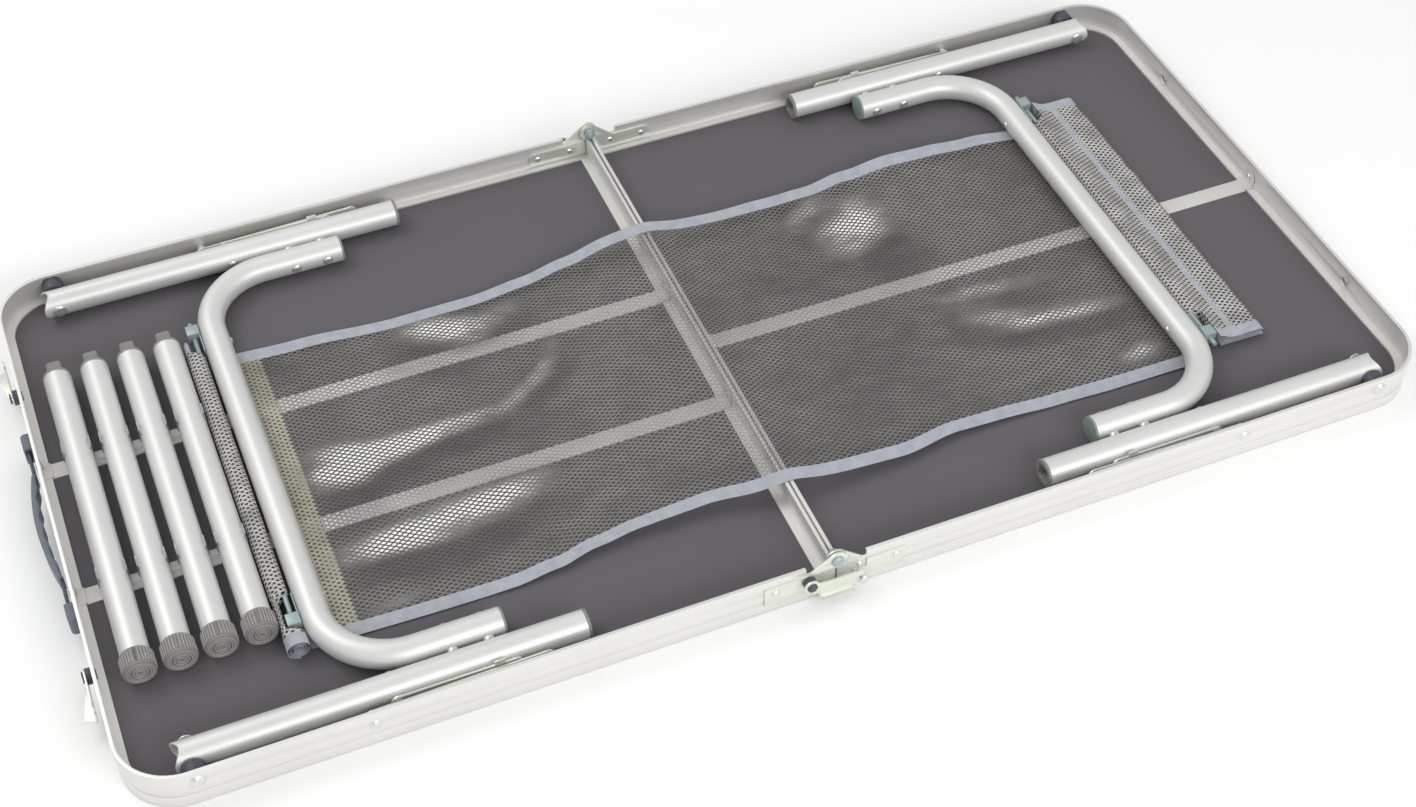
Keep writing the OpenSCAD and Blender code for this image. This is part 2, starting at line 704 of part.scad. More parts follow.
// ---- stays ----
// flat bar with round eyes that stand a little proud of its edges
module link(x1, z1, x2, z2, y) {
  w = link_width / 2;
  a = atan2(z2 - z1, x2 - x1);
  l = sqrt((x2 - x1) * (x2 - x1) + (z2 - z1) * (z2 - z1));
  rod_y(x1, z1, w, y, y + link_thickness);
  rod_y(x2, z2, w, y, y + link_thickness);
  translate([x1, y, z1]) rotate([0, -a, 0]) translate([0, 0, 0.25 - w])
    cube([l, link_thickness, link_width - 0.5]);
}

// upper link: turns on the rail; its tail runs on past the elbow
module rail_link_shape() {
  pair_y() difference() {
    union() {
      link(-stay_rail_x, stay_rail_z, -elbow_x + 26, elbow_z, rail_link_y);
      head_y(-elbow_x, elbow_z, 4.6, rail_link_y + link_thickness - 0.05, 1.3, 1);
    }
    rod_y(-stay_rail_x, stay_rail_z, rivet_r + run, rail_link_y - 1, rail_link_y + link_thickness + 1);
  }
}

module leg_link_shape() {
  pair_y() difference() {
    union() {
      link(-stay_leg_x, leg_z, -elbow_x, elbow_z, leg_link_y);
      head_y(-elbow_x, elbow_z, 4.2, leg_link_y + 0.05, 0.9, -1);
      // release tab
      translate([-elbow_x - 18, leg_link_y + 0.2, elbow_z + 2]) cube([9, link_thickness - 0.4, 8]);
    }
    rod_y(-stay_leg_x, leg_z, rivet_r + run, leg_link_y - 1, leg_link_y + link_thickness + 1);
  }
}
module rail_links_left() { color("lightgray") rail_link_shape(); }
module leg_links_left() { color("lightgray") leg_link_shape(); }
module rail_links_right() { color("lightgray") mirror([1, 0, 0]) rail_link_shape(); }
module leg_links_right() { color("lightgray") mirror([1, 0, 0]) leg_link_shape(); }

// ---- net shelf ----
// rod with a bracket at each end, held to the outer side of the cross bar
module rod_shape() {
  y1 = bend_y - 18;
  rod_y(-rod_x, rod_z, rod_r, -y1 - 34, y1 + 34);
  pair_y() difference() {
    union() {
      translate([-rod_x - 5.5, y1 + 14, rod_z - 6.5]) cube([rod_x - bar_x - tube_r + 5.4, 12, 13]);
      translate([-bar_x - tube_r - 1.1, y1 - 8, leg_z - 5]) cube([1, 34, 10]);
    }
    rod_y(-rod_x, rod_z, rod_r + run, -y1 - 50, y1 + 50);
    rod_x_axis(y1, leg_z, 2 + run, -bar_x - tube_r - 1.3, -bar_x);
  }
}
module net_rod_left() { color("powderblue") rod_shape(); }
module net_rod_right() { color("powderblue") mirror([1, 0, 0]) rod_shape(); }

module net_roll() {
  color("gray") difference() {
    rod_y(-roll_x, roll_z, roll_r, -bend_y + 28, bend_y - 28);
    rod_y(-rod_x, rod_z, rod_r + 0.1, -bend_y, 200);
  }
}

module net_fold() {
  x = rod_x + 7;
  z = strip_top + 0.4;
  color("gray") translate([0, bend_y + 2, z]) rotate([90, 0, 0]) linear_extrude(2 * bend_y + 14) polygon([
    [x, 0], [x + 50, 0], [x + 53, 2], [x + 53, 6], [x + 50, 8], [x + 8, 8], [x + 8, 9.6],
    [x + 50, 9.6], [x + 50, 11.6], [x + 8, 11.6], [x + 5, 9.6], [x + 5, 8], [x + 8, 6],
    [x + 50, 6], [x + 50, 2], [x, 2]]);
}

net_t = 0.8;
net_line = [[end_gap * 0.3, bar_top + 0.5], [8, bar_top - 0.2], [40, 27], [90, 21.5], [150, 17.6],
  [230, 14.8], [300, strip_top + 0.2], [rod_x - 8, strip_top + 0.2]];
module net_shape() {
  translate([0, net_far, 0]) rotate([90, 0, 0]) linear_extrude(net_far - net_near) polygon(concat(
    [for (p = net_line) [-p[0], p[1]]],
    [for (i = [len(net_line) - 1:-1:0]) [-net_line[i][0], net_line[i][1] + net_t]]));
}
module net_left() { color("darkgray") net_shape(); }
module net_right() { color("darkgray") mirror([1, 0, 0]) net_shape(); }

// ---- leg extensions ----
module extension_tube(i) {
  difference() {
    rod_y(ext_x(i), ext_z, tube_r, ext_near + 4, ext_far - 17);
    rod_y(ext_x(i), ext_z, tube_in, ext_near, ext_far);
  }
}

// keyed plug at the far end and ribbed foot at the near end
module extension_ends(i) {
  x = ext_x(i);
  rod_y(x, ext_z, tube_in - 0.05, ext_far - 40, ext_far - 16.9);
  rod_y(x, ext_z, tube_r, ext_far - 16.95, ext_far - 13.5);
  translate([x, ext_far - 13.6, ext_z]) rotate([-90, 0, 0]) linear_extrude(13.6) keyed(14, 3.2);
  difference() {
    union() {
      rod_y(x, ext_z, tube_r + 1, ext_near, ext_near + foot_length);
      for (k = [0:2]) rod_y(x, ext_z, tube_r + 1.4, ext_near + 1 + 3 * k, ext_near + 2.6 + 3 * k);
    }
    rod_y(x, ext_z, tube_r + 0.05, ext_near + 3.95, ext_near + 30);
    difference() {
      rod_y(x, ext_z, 9, ext_near - 1, ext_near + 0.8);
      rod_y(x, ext_z, 7, ext_near - 2, ext_near + 1);
    }
  }
}
module extension_tube_1() { color("silver") extension_tube(1); }
module extension_tube_2() { color("silver") extension_tube(2); }
module extension_tube_3() { color("silver") extension_tube(3); }
module extension_tube_4() { color("silver") extension_tube(4); }
module extension_ends_1() { color("gray") extension_ends(1); }
module extension_ends_2() { color("gray") extension_ends(2); }
module extension_ends_3() { color("gray") extension_ends(3); }
module extension_ends_4() { color("gray") extension_ends(4); }

// ---- assembly ----
rail_left();
centre_bar_left();
tabletop_skin_left();
tabletop_core_left();
lining_left();
cross_strips();
tube_clips();
rivets_left();
hinge_plates_left();
hinge_bolts();
pivot_bushes();
leg_pivots_left();
leg_spacers_left();
handle_caps();
handle_straps();
handle_grip();
latch_hook_far();
latch_hook_near();
lock_lever_far();
lock_lever_near();
rail_right();
centre_bar_right();
tabletop_skin_right();
tabletop_core_right();
lining_right();
long_strip();
rivets_right();
hinge_plates_right();
catch_pins();
leg_pivots_right();
leg_spacers_right();
leg_tubes_left();
cross_bar_left();
bar_plugs_left();
socket_inserts_left();
frame_rivets_left();
net_rod_left();
net_roll();
leg_tubes_right();
cross_bar_right();
bar_plugs_right();
socket_inserts_right();
frame_rivets_right();
net_rod_right();
net_fold();
rail_links_left();
leg_links_left();
rail_links_right();
leg_links_right();
net_left();
net_right();
extension_tube_1();
extension_ends_1();
extension_tube_2();
extension_ends_2();
extension_tube_3();
extension_ends_3();
extension_tube_4();
extension_ends_4();
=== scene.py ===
"""Looks of a folding picnic table that lies on its top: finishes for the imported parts, eased copies of the
sheet metal and mouldings, and the net shelf with its roll and its fold."""
import json
import math

import bpy
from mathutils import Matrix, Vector, noise


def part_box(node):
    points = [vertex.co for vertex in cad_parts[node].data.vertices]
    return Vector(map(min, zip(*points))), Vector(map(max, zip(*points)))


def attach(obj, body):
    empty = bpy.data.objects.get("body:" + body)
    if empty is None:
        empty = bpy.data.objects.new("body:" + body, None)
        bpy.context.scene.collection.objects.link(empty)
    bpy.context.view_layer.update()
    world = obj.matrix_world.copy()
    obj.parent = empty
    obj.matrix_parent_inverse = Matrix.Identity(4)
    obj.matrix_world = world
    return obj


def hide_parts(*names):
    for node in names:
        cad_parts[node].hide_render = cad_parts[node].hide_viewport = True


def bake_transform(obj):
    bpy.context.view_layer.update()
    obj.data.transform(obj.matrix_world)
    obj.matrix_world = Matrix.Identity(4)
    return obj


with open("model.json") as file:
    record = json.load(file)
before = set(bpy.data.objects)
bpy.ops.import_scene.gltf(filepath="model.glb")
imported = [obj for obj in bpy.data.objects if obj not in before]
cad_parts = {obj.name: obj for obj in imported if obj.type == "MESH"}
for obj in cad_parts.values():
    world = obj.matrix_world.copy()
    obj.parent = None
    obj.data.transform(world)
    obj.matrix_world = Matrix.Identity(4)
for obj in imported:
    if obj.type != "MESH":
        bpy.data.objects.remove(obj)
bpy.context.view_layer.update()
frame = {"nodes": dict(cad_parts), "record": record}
MM = 0.001
RECORD = frame["record"]
BODY_OF = {node: body for body, nodes in RECORD["behaviour"]["bodies"].items() for node in nodes}


# ---- camera, light and floor ----
def add_camera():
    data = bpy.data.cameras.new("camera")
    data.lens = 53.5
    data.sensor_width = 36
    camera = bpy.data.objects.new("camera", data)
    bpy.context.collection.objects.link(camera)
    camera.location = (-0.5227, -1.2721, 1.4248)
    camera.rotation_euler = (math.radians(42.67), math.radians(-0.09), math.radians(-22.54))
    bpy.context.scene.camera = camera


def add_soft_box(name, place, aim, size, watts):
    data = bpy.data.lights.new(name, "AREA")
    data.shape = "RECTANGLE"
    data.size, data.size_y = size
    data.energy = watts
    light = bpy.data.objects.new(name, data)
    bpy.context.collection.objects.link(light)
    light.location = place
    light.rotation_euler = (Vector(aim) - Vector(place)).to_track_quat("-Z", "Y").to_euler()


def add_studio():
    world = bpy.data.worlds.new("studio")
    world.use_nodes = True
    world.node_tree.nodes["Background"].inputs["Color"].default_value = (1, 1, 1, 1)
    world.node_tree.nodes["Background"].inputs["Strength"].default_value = 0.66
    bpy.context.scene.world = world
    bpy.context.scene.view_settings.view_transform = "Standard"
    add_soft_box("key", (-1.6, 1.4, 2.6), (0, 0, 0), (2.2, 1.6), 30)
    add_soft_box("front", (0.6, -2.6, 1.6), (0, 0, 0), (2.6, 1.2), 42)


def add_floor():
    bpy.ops.object.select_all(action="DESELECT")
    bpy.ops.mesh.primitive_plane_add(size=14, location=(0, 0, -0.0006))
    floor = bpy.context.object
    floor.name = "floor"
    floor.data.materials.append(painted("pale_floor", (0.98, 0.98, 0.98), 0.9, 0.01, 3.0))


# ---- shader building ----
def add_node(tree, kind, inputs=None, **settings):
    """A node with its settings, whose inputs are given by name or number, as values or other sockets."""
    node = tree.nodes.new(kind)
    for key, value in settings.items():
        setattr(node, key, value)
    for key, value in (inputs or {}).items():
        if isinstance(value, bpy.types.NodeSocket):
            tree.links.new(value, node.inputs[key])
        else:
            node.inputs[key].default_value = value
    return node


def calc(tree, operation, *values, clamp=False):
    inputs = dict(enumerate(values))
    return add_node(tree, "ShaderNodeMath", inputs, operation=operation, use_clamp=clamp).outputs[0]


def new_group(name, inputs, outputs):
    group = bpy.data.node_groups.new(name, "ShaderNodeTree")
    for label, kind, value in inputs:
        socket = group.interface.new_socket(label, in_out="INPUT", socket_type="NodeSocket" + kind)
        if value is not None:
            socket.default_value = value
    for label, kind in outputs:
        group.interface.new_socket(label, in_out="OUTPUT", socket_type="NodeSocket" + kind)
    return group, group.nodes.new("NodeGroupInput").outputs, group.nodes.new("NodeGroupOutput")


def grain_group():
    """Uneven tone, uneven gloss and a fine grain over a plain finish."""
    group, given, out = new_group(
        "grain",
        [("Vector", "Vector", None), ("Color", "Color", (0.5, 0.5, 0.5, 1)), ("Tone", "Float", 0.1),
         ("Roughness", "Float", 0.4), ("Gloss Spread", "Float", 0.08), ("Blotch Scale", "Float", 9.0),
         ("Grain Scale", "Float", 900.0)],
        [("Color", "Color"), ("Roughness", "Float"), ("Height", "Float")])
    blotch = add_node(group, "ShaderNodeTexNoise",
                      {"Vector": given["Vector"], "Scale": given["Blotch Scale"], "Detail": 4.0,
                       "Roughness": 0.6})
    fine = add_node(group, "ShaderNodeTexNoise",
                    {"Vector": given["Vector"], "Scale": given["Grain Scale"], "Detail": 2.0,
                     "Roughness": 0.7})
    blotch_value = calc(group, "SUBTRACT", blotch.outputs["Fac"], 0.5)
    fine_value = calc(group, "SUBTRACT", fine.outputs["Fac"], 0.5)
    both = calc(group, "ADD", blotch_value, calc(group, "MULTIPLY", fine_value, 0.8))
    tone = calc(group, "ADD", calc(group, "MULTIPLY", both, given["Tone"]), 1.0)
    color = add_node(group, "ShaderNodeVectorMath", {0: given["Color"]}, operation="SCALE")
    group.links.new(tone, color.inputs["Scale"])
    group.links.new(color.outputs[0], out.inputs["Color"])
    gloss = calc(group, "ADD", calc(group, "MULTIPLY", both, given["Gloss Spread"]), given["Roughness"])
    group.links.new(gloss, out.inputs["Roughness"])
    group.links.new(fine.outputs["Fac"], out.inputs["Height"])
    return group


def mesh_group():
    """Diamond mesh in a sheet's own metres: a mask of the threads and their rounded height."""
    group, given, out = new_group(
        "diamond_mesh",
        [("UV", "Vector", None), ("Pitch Along", "Float", 0.0079), ("Pitch Across", "Float", 0.0049),
         ("Thread", "Float", 0.3)],
        [("Mask", "Float"), ("Height", "Float")])
    place = add_node(group, "ShaderNodeSeparateXYZ", {0: given["UV"]}).outputs
    along = calc(group, "DIVIDE", place["X"], given["Pitch Along"])
    across = calc(group, "DIVIDE", place["Y"], given["Pitch Across"])
    edges = []
    for turn in ("ADD", "SUBTRACT"):
        strand = calc(group, "FRACT", calc(group, turn, along, across))
        edges.append(calc(group, "ABSOLUTE", calc(group, "SUBTRACT", strand, 0.5)))
    nearest = calc(group, "MAXIMUM", *edges)
    inner = calc(group, "SUBTRACT", 0.5, calc(group, "MULTIPLY", given["Thread"], 0.5))
    height = calc(group, "DIVIDE", calc(group, "SUBTRACT", nearest, inner),
                  calc(group, "MULTIPLY", given["Thread"], 0.5), clamp=True)
    group.links.new(height, out.inputs["Height"])
    group.links.new(calc(group, "GREATER_THAN", nearest, inner), out.inputs["Mask"])
    return group


GRAIN = grain_group()
DIAMONDS = mesh_group()


def new_material(name):
    material = bpy.data.materials.new(name)
    material.use_nodes = True
    return material, material.node_tree, material.node_tree.nodes["Principled BSDF"]


def fill_group(tree, group, inputs):
    return add_node(tree, "ShaderNodeGroup", inputs, node_tree=group).outputs


def grained(name, color, roughness, tone, blotch_scale, grain_scale, bump, metallic=0.0, spread=0.1):
    """A plain finish with the grain group on it; bump is the grain's depth in metres."""
    material, tree, shader = new_material(name)
    place = add_node(tree, "ShaderNodeTexCoord").outputs["Object"]
    grain = fill_group(tree, GRAIN, {"Vector": place, "Color": (*color, 1), "Tone": tone,
                                     "Roughness": roughness, "Gloss Spread": spread,
                                     "Blotch Scale": blotch_scale, "Grain Scale": grain_scale})
    tree.links.new(grain["Color"], shader.inputs["Base Color"])
    tree.links.new(grain["Roughness"], shader.inputs["Roughness"])
    rise = add_node(tree, "ShaderNodeBump",
                    {"Height": grain["Height"], "Strength": 0.6, "Distance": bump})
    tree.links.new(rise.outputs[0], shader.inputs["Normal"])
    shader.inputs["Metallic"].default_value = metallic
    return material


def painted(name, color, roughness, tone, blotch_scale):
    return grained(name, color, roughness, tone, blotch_scale, 700, 0.00002)


def satin_metal(name, color, roughness, tone=0.10, grain_scale=1400, bump=0.00003, blotch_scale=14,
                metallic=0.85):
    return grained(name, color, roughness, tone, blotch_scale, grain_scale, bump, metallic, spread=0.16)


def moulded(name, color, roughness):
    return grained(name, color, roughness, 0.14, 40, 1900, 0.00005)


def net_material(name, thread_color, thread, painted_cell_shade=(0.05, 0.048, 0.046), painted_cell_shade_cover=0.0,
                 thread_cover=1.0):
    """Open mesh: light threads over a thin film in the cells whose dark colour is painted shade. The cells turn
    bright, a painted highlight, where the glare attribute is high, while the threads there darken. The shade
    attribute carries uneven light and dark and, on the flat sheets, the painted shade of the folds."""
    material, tree, shader = new_material(name)
    uv = add_node(tree, "ShaderNodeUVMap", uv_map="cloth").outputs[0]
    mesh = fill_group(tree, DIAMONDS, {"UV": uv, "Thread": thread})
    uneven = add_node(tree, "ShaderNodeTexNoise",
                      {"Vector": uv, "Scale": 45.0, "Detail": 4.0}).outputs["Fac"]
    painted_shine = add_node(tree, "ShaderNodeAttribute", attribute_name="painted_glare").outputs["Fac"]
    fold_shade = add_node(tree, "ShaderNodeAttribute", attribute_name="shade").outputs["Fac"]
    # Thread tone: random unevenness times the shade attribute, which holds the painted shade of the folds.
    tone = calc(tree, "MULTIPLY", calc(tree, "ADD", calc(tree, "MULTIPLY", uneven, 0.7), 0.65), fold_shade)
    # Painted highlight: the threads darken where the cells glare.
    left_over = calc(tree, "SUBTRACT", 1.0, calc(tree, "MULTIPLY", painted_shine, 0.72))
    dimmed = calc(tree, "MULTIPLY", tone, left_over)
    threads = add_node(tree, "ShaderNodeVectorMath", {0: thread_color}, operation="SCALE")
    tree.links.new(dimmed, threads.inputs["Scale"])
    # The holes' film: its dark colour is painted shade, and it turns to a painted highlight colour where the
    # cells glare.
    cells = add_node(tree, "ShaderNodeMix", {"Factor": painted_shine}, data_type="RGBA")
    cells.inputs[6].default_value = (*painted_cell_shade, 1)
    cells.inputs[7].default_value = (0.98, 0.97, 0.93, 1)
    color = add_node(tree, "ShaderNodeMix", {"Factor": mesh["Mask"]}, data_type="RGBA")
    tree.links.new(cells.outputs[2], color.inputs[6])
    tree.links.new(threads.outputs[0], color.inputs[7])
    tree.links.new(color.outputs[2], shader.inputs["Base Color"])
    # The film covers the holes more where the painted highlight is.
    cover = calc(tree, "ADD", calc(tree, "MULTIPLY", painted_shine, 0.96 - painted_cell_shade_cover), painted_cell_shade_cover)
    clear = calc(tree, "MULTIPLY", calc(tree, "SUBTRACT", 1.0, painted_shine), 1.0 - thread_cover)
    solid = calc(tree, "MULTIPLY", mesh["Mask"], calc(tree, "SUBTRACT", 1.0, clear))
    tree.links.new(calc(tree, "MAXIMUM", solid, cover), shader.inputs["Alpha"])
    rise = add_node(tree, "ShaderNodeBump",
                    {"Height": mesh["Height"], "Strength": 0.7, "Distance": 0.0005})
    tree.links.new(rise.outputs[0], shader.inputs["Normal"])
    shader.inputs["Roughness"].default_value = 0.42
    return material


def tape_material():
    """Ribbed hem tape, with its ribs across the run of the tape."""
    material, tree, shader = new_material("hem_tape")
    uv = add_node(tree, "ShaderNodeUVMap", uv_map="cloth").outputs[0]
    ribs = add_node(tree, "ShaderNodeTexWave",
                    {"Vector": uv, "Scale": 260.0, "Distortion": 1.5, "Detail": 2.0, "Detail Scale": 3.0},
                    bands_direction="DIAGONAL").outputs["Fac"]
    grain = fill_group(tree, GRAIN, {"Vector": uv, "Color": (0.39, 0.41, 0.455, 1), "Tone": 0.6,
                                     "Roughness": 0.75, "Blotch Scale": 90.0, "Grain Scale": 1500.0})
    tree.links.new(grain["Color"], shader.inputs["Base Color"])
    tree.links.new(grain["Roughness"], shader.inputs["Roughness"])
    rise = add_node(tree, "ShaderNodeBump", {"Height": ribs, "Strength": 0.5, "Distance": 0.0003})
    tree.links.new(rise.outputs[0], shader.inputs["Normal"])
    shader.inputs["Sheen Weight"].default_value = 0.2
    return material


FINISHES = {
    "rail": satin_metal("rail_metal", (0.76, 0.755, 0.73), 0.42, metallic=0.5),
    "tube": satin_metal("tube_metal", (0.74, 0.74, 0.73), 0.46, 0.12, 1100, 0.00004, metallic=0.45),
    "zinc": satin_metal("zinc_plate", (0.74, 0.77, 0.69), 0.36, 0.16, 600, 0.00003, 60, metallic=0.6),
    "blue_zinc": satin_metal("blue_zinc_plate", (0.36, 0.44, 0.44), 0.42, 0.2, 600, 0.00003, 60,
                             metallic=0.35),
    "rivet": satin_metal("rivet_metal", (0.76, 0.76, 0.74), 0.30),
    "strap": satin_metal("strap_metal", (0.70, 0.695, 0.67), 0.52, 0.3, 1300, 0.0001, metallic=0.4),
    "clip": satin_metal("spring_steel", (0.60, 0.62, 0.63), 0.30),
    "lining": grained("board_lining", (0.113, 0.108, 0.115), 0.85, 0.10, 5, 1300, 0.00004),
    "core": grained("fibreboard", (0.50, 0.38, 0.25), 0.8, 0.3, 30, 900, 0.0001),
    "skin": grained("pale_laminate", (0.70, 0.69, 0.66), 0.4, 0.06, 4, 900, 0.00001),
    "grey_plastic": moulded("grey_moulding", (0.24, 0.235, 0.225), 0.5),
    # The ribs of the feet, in a lighter grey than the rest of the foot.
    "foot_rib": moulded("lighter_grey_moulding", (0.36, 0.355, 0.34), 0.5),
    "green_plastic": moulded("grey_green_moulding", (0.22, 0.29, 0.25), 0.45),
    "dark_plastic": moulded("dark_moulding", (0.06, 0.065, 0.08), 0.45),
    "handle": moulded("slate_moulding", (0.13, 0.155, 0.185), 0.5),
}
NET = net_material("net_mesh", (0.27, 0.26, 0.245), 0.34, thread_cover=0.68)
# The sleeve and the roll cover their holes with a dark film, which is painted shade.
SLEEVE = net_material("net_sleeve", (0.40, 0.38, 0.30), 0.50, (0.10, 0.095, 0.075), 0.6)
ROLLED = net_material("net_rolled", (0.50, 0.49, 0.47), 0.42, (0.02, 0.02, 0.02), 0.9)
TAPE = tape_material()


def finish_packed_parts():
    """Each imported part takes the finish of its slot. The net's own nodes have none here, and are replaced."""
    for part in RECORD["subparts"]:
        node = frame["nodes"][part["node"]]
        finish = FINISHES.get(part["material_slot"], ROLLED)
        for slot in node.material_slots:
            slot.material = finish


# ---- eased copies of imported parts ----
def select_only(piece):
    bpy.ops.object.select_all(action="DESELECT")
    piece.select_set(True)
    bpy.context.view_layer.objects.active = piece


def apply_modifier(piece, kind, **settings):
    select_only(piece)
    modifier = piece.modifiers.new(kind.lower(), kind)
    for key, value in settings.items():
        setattr(modifier, key, value)
    bpy.ops.object.modifier_apply(modifier=modifier.name)


def eased(node, width, segments=2):
    """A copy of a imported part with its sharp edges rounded, which stands for the part."""
    source = frame["nodes"][node]
    piece = bpy.data.objects.new("eased_" + node, source.data.copy())
    bpy.context.collection.objects.link(piece)
    select_only(piece)
    bpy.ops.mesh.customdata_custom_splitnormals_clear()
    bpy.ops.object.mode_set(mode="EDIT")
    bpy.ops.mesh.select_all(action="SELECT")
    bpy.ops.mesh.remove_doubles(threshold=0.000002)
    bpy.ops.mesh.dissolve_limited(angle_limit=math.radians(0.4))
    bpy.ops.object.mode_set(mode="OBJECT")
    apply_modifier(piece, "BEVEL", width=width, segments=segments, limit_method="ANGLE",
                   angle_limit=math.radians(38), use_clamp_overlap=True)
    bpy.ops.object.shade_smooth_by_angle(angle=math.radians(32))
    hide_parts(node)
    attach(piece, BODY_OF[node])


def ease_parts():
    """Rounds the edges of sheet metal and mouldings, by widths in millimetres."""
    widths = {"handle_grip": 2.2, "handle_caps": 1.4, "leg_spacers_left": 0.5, "leg_spacers_right": 0.5}
    for node in BODY_OF:
        if node.startswith(("rail_left", "rail_right", "centre_bar")):
            widths[node] = 0.35
        elif node.startswith(("hinge_", "latch_", "lock_", "cross_strips", "long_strip", "rail_links",
                              "leg_links")):
            widths[node] = 0.28
        elif node.startswith(("pivot_bushes", "catch_pins", "rivets", "frame_rivets", "leg_pivots",
                              "net_rod")):
            widths[node] = 0.25
        elif node.startswith(("bar_plugs", "socket_inserts", "extension_ends")):
            widths[node] = 0.5
    for node, width in widths.items():
        eased(node, width * MM, 3 if width > 1 else 2)


def cut_foot_details(number):
    """Ribs round the collar of an extension's foot and rings on its end face."""
    low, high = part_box(f"extension_ends_{number}")
    middle_x, middle_z, radius = (low.x + high.x) / 2, (low.z + high.z) / 2, (high.x - low.x) / 2
    end_y = low.y
    rib_middle, rib_sunk = 9.6 * MM, 0.1 * MM
    rib_size = (1.2 * MM, 14 * MM, 1.6 * MM)
    bpy.ops.object.select_all(action="DESELECT")
    bpy.ops.mesh.primitive_cube_add(
        size=1, location=(middle_x, end_y + rib_middle, middle_z + radius - rib_sunk))
    ribs = bpy.context.object
    ribs.scale = rib_size
    bpy.ops.object.transform_apply(location=True, rotation=False, scale=True)
    apply_modifier(ribs, "BEVEL", width=0.3 * MM, segments=1)
    bpy.ops.object.mode_set(mode="EDIT")
    bpy.ops.mesh.select_all(action="SELECT")
    bpy.ops.mesh.spin(steps=32, dupli=True, angle=math.tau, center=(middle_x, end_y, middle_z),
                      axis=(0, 1, 0))
    bpy.ops.object.mode_set(mode="OBJECT")
    parts = [ribs]
    for ring_radius in (3.2, 6.0, 8.6, 11.0):
        bpy.ops.object.select_all(action="DESELECT")
        bpy.ops.mesh.primitive_torus_add(
            location=(middle_x, end_y, middle_z), rotation=(math.pi / 2, 0, 0),
            major_radius=ring_radius * MM, minor_radius=0.55 * MM, major_segments=40, minor_segments=6)
        parts.append(bpy.context.object)
    bpy.ops.object.select_all(action="DESELECT")
    for part in parts:
        part.select_set(True)
    bpy.context.view_layer.objects.active = ribs
    bpy.ops.object.join()
    bpy.ops.object.transform_apply(location=True, rotation=True, scale=True)
    bpy.ops.object.shade_smooth_by_angle(angle=math.radians(40))
    ribs.name = f"foot_ribs_{number}"
    ribs.data.materials.clear()
    ribs.data.materials.append(FINISHES["foot_rib"])
    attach(ribs, f"extension_{number}")


# ---- net shelf ----
def smooth_line(points, step):
    """Points along a curve through the given ones, about step apart."""
    line = []
    padded = [points[0], *points, points[-1]]
    for a, b, c, d in zip(padded, padded[1:], padded[2:], padded[3:]):
        count = max(1, round((c - b).length / step))
        for i in range(count):
            t = i / count
            line.append(0.5 * (2 * b + (c - a) * t + (2 * a - 5 * b + 4 * c - d) * t ** 2
                               + (3 * b - a - 3 * c + d) * t ** 3))
    return line + [points[-1]]


def lengths_along(line):
    total, out = 0.0, [0.0]
    for a, b in zip(line, line[1:]):
        total += (b - a).length
        out.append(total)
    return out


def cloth_strip(name, line, y_low, y_high, rows, start, shape, finish):
    """A sheet that follows line in X and Z and runs across in Y. shape moves a point, given the point and its
    number in the line. The map named cloth holds the flat sheet's own metres, and begins at start. Returns
    the sheet and the line's length."""
    bpy.ops.object.select_all(action="DESELECT")
    bpy.ops.mesh.primitive_grid_add(x_subdivisions=len(line) - 1, y_subdivisions=rows, size=2)
    piece = bpy.context.object
    piece.name = name
    run = lengths_along(line)
    last = len(line) - 1
    places = []
    for vertex in piece.data.vertices:
        column = round((vertex.co.x + 1) / 2 * last)
        share = (vertex.co.y + 1) / 2
        y = y_low + (y_high - y_low) * share
        point = Vector((line[column].x, y, line[column].y))
        places.append((start + run[column], y))
        vertex.co = shape(point, column)
    cloth = piece.data.uv_layers.new(name="cloth")
    for loop in piece.data.loops:
        cloth.data[loop.index].uv = places[loop.vertex_index]
    while len(piece.data.uv_layers) > 1:
        spare = next(layer for layer in piece.data.uv_layers if layer.name != "cloth")
        piece.data.uv_layers.remove(spare)
    for material in finish:
        piece.data.materials.append(material)
    for polygon in piece.data.polygons:
        polygon.use_smooth = True
    return piece, run[-1]


HEM = 13 * MM  # width of the tape along both edges of the net
# Patches of painted highlight on the net, each with painted shade along one side: middle x and y, half length
# and half width in millimetres, turn in degrees, and strength.
PAINTED_GLARES = [
    (-222, 112, 42, 22, -24, 0.9), (-170, 104, 36, 15, 20, 0.6),
    (-354, -16, 30, 28, 0, 1.0), (-318, -14, 44, 17, 4, 0.9), (-255, -10, 60, 12, 2, 0.9),
    (-170, 8, 40, 10, 35, 0.55), (-138, 40, 28, 11, 62, 0.45),
    (-348, -118, 38, 14, 2, 0.9), (-285, -114, 54, 19, 4, 1.0), (-215, -104, 42, 18, 8, 0.7),
    (-350, -180, 36, 8, 6, 0.5),
    (195, 84, 42, 30, 25, 1.0), (158, 122, 38, 12, 30, 0.6), (215, 104, 26, 24, 0, 0.4),
    (292, -36, 60, 11, -6, 0.75), (262, -62, 42, 17, -20, 0.6), (330, -92, 70, 13, -4, 0.9),
    (377, -166, 28, 14, 10, 0.7), (160, -110, 70, 30, -6, 0.12)]
